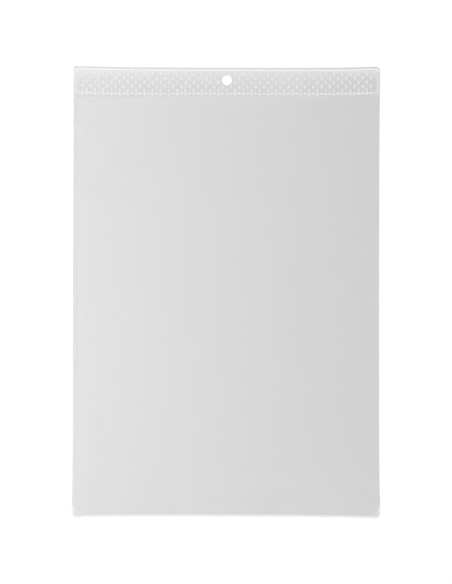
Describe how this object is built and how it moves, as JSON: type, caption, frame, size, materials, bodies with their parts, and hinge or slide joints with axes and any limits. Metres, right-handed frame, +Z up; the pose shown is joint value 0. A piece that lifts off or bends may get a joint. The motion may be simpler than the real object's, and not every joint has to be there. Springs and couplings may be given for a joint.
{
  "type": "hanging document pocket",
  "caption": "Clear flat pocket of welded plastic film for a portrait document, open under a dot-welded header strip with a punched hanging hole.",
  "frame": {"origin": "centre of the hanging hole, in the rear face", "axes": "+Z up along the height, +X to the right seen from the front, the front faces -Y"},
  "size_m": [0.22, 0.0087, 0.323],
  "materials": {
    "clear_film": "clear soft PVC film, smooth",
    "welded_film": "clear soft PVC film, melted and slightly hazy"
  },
  "bodies": {
    "pocket": {"back_sheet": "clear_film", "header_strip": "clear_film", "header_bead": "welded_film", "header_dots": "welded_film", "left_weld": "welded_film", "right_weld": "welded_film", "bottom_weld": "welded_film"},
    "front": {"front_sheet": "clear_film"}
  },
  "joints": [
    {"name": "mouth_opening", "type": "hinge", "parent": "pocket", "child": "front", "pos_m": [0, -0.0006, -0.312], "axis": [1, 0, 0], "range_deg": [0, 4], "stiffness_Nm_per_rad": 0.5}
  ]
}
